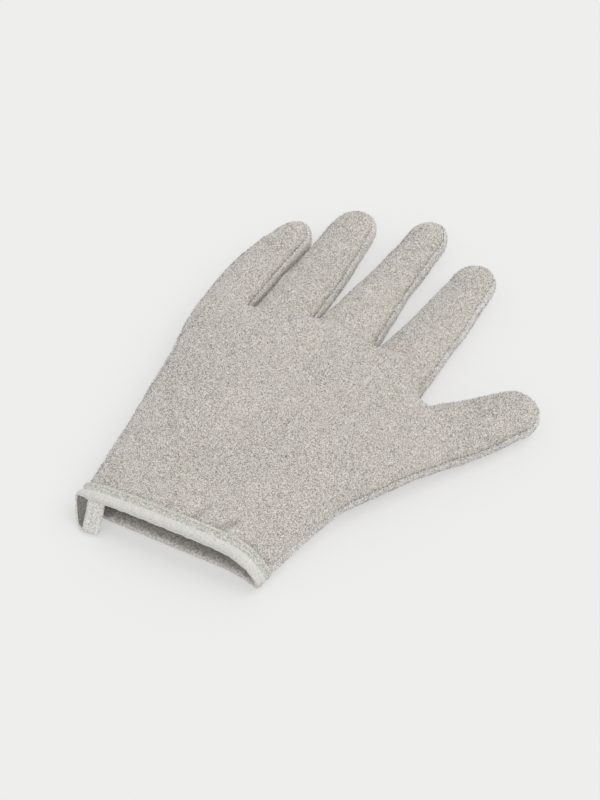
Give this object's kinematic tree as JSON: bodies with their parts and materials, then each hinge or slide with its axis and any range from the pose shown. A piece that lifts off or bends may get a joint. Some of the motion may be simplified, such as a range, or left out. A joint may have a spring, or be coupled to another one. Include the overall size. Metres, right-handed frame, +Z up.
{
  "type": "grooming glove",
  "caption": "Soft plush pet grooming glove lying flat, sewn round its outline, with a taped wrist opening and a hanging loop.",
  "frame": {"origin": "middle of the bottom of the whole object's box, on the surface that the palm side lies on", "axes": "+Y from the wrist opening towards the fingertips, +X towards the thumb, +Z up from the palm panel to the back panel"},
  "size_m": [0.1846, 0.2542, 0.0249],
  "materials": {
    "plush_back": "short pile plush, warm light grey",
    "plush_palm": "short pile plush, warm light grey",
    "seam_thread": "matt sewing thread in a seam",
    "binding_tape": "soft tape, slightly lighter than the plush",
    "loop_tape": "soft tape, slightly lighter than the plush"
  },
  "bodies": {
    "hand": {"hand_back_panel": "plush_back", "hand_palm_panel": "plush_palm", "seam_little_side": "seam_thread", "seam_little_ring": "seam_thread", "seam_ring_middle": "seam_thread", "seam_middle_index": "seam_thread", "seam_index_thumb": "seam_thread", "seam_thumb_side": "seam_thread", "wrist_binding": "binding_tape", "binding_topstitch": "seam_thread"},
    "index_finger": {"index_back_panel": "plush_back", "index_palm_panel": "plush_palm", "index_seam": "seam_thread"},
    "middle_finger": {"middle_back_panel": "plush_back", "middle_palm_panel": "plush_palm", "middle_seam": "seam_thread"},
    "ring_finger": {"ring_back_panel": "plush_back", "ring_palm_panel": "plush_palm", "ring_seam": "seam_thread"},
    "little_finger": {"little_back_panel": "plush_back", "little_palm_panel": "plush_palm", "little_seam": "seam_thread"},
    "thumb": {"thumb_back_panel": "plush_back", "thumb_palm_panel": "plush_palm", "thumb_seam": "seam_thread"},
    "loop": {"hanging_loop": "loop_tape"}
  },
  "joints": [
    {"name": "index_bend", "type": "hinge", "parent": "hand", "child": "index_finger", "pos_m": [0.01855, 0.0598, 0.01613], "axis": [0.9995, -0.0329, 0], "range_deg": [0, 75]},
    {"name": "middle_bend", "type": "hinge", "parent": "hand", "child": "middle_finger", "pos_m": [-0.01601, 0.06083, 0.0163], "axis": [1, -0.0081, 0], "range_deg": [0, 75]},
    {"name": "ring_bend", "type": "hinge", "parent": "hand", "child": "ring_finger", "pos_m": [-0.05047, 0.05881, 0.01587], "axis": [0.9996, 0.0277, 0], "range_deg": [0, 75]},
    {"name": "little_bend", "type": "hinge", "parent": "hand", "child": "little_finger", "pos_m": [-0.07661, 0.0468, 0.01498], "axis": [0.9994, -0.0355, 0], "range_deg": [0, 75]},
    {"name": "thumb_bend", "type": "hinge", "parent": "hand", "child": "thumb", "pos_m": [0.05935, 0.01906, 0.01635], "axis": [0.7395, -0.6732, 0], "range_deg": [0, 55]},
    {"name": "loop_swing", "type": "hinge", "parent": "hand", "child": "loop", "pos_m": [-0.0634, -0.11797, 0.0129], "axis": [-0.9945, -0.1045, 0], "range_deg": [0, 100]}
  ]
}
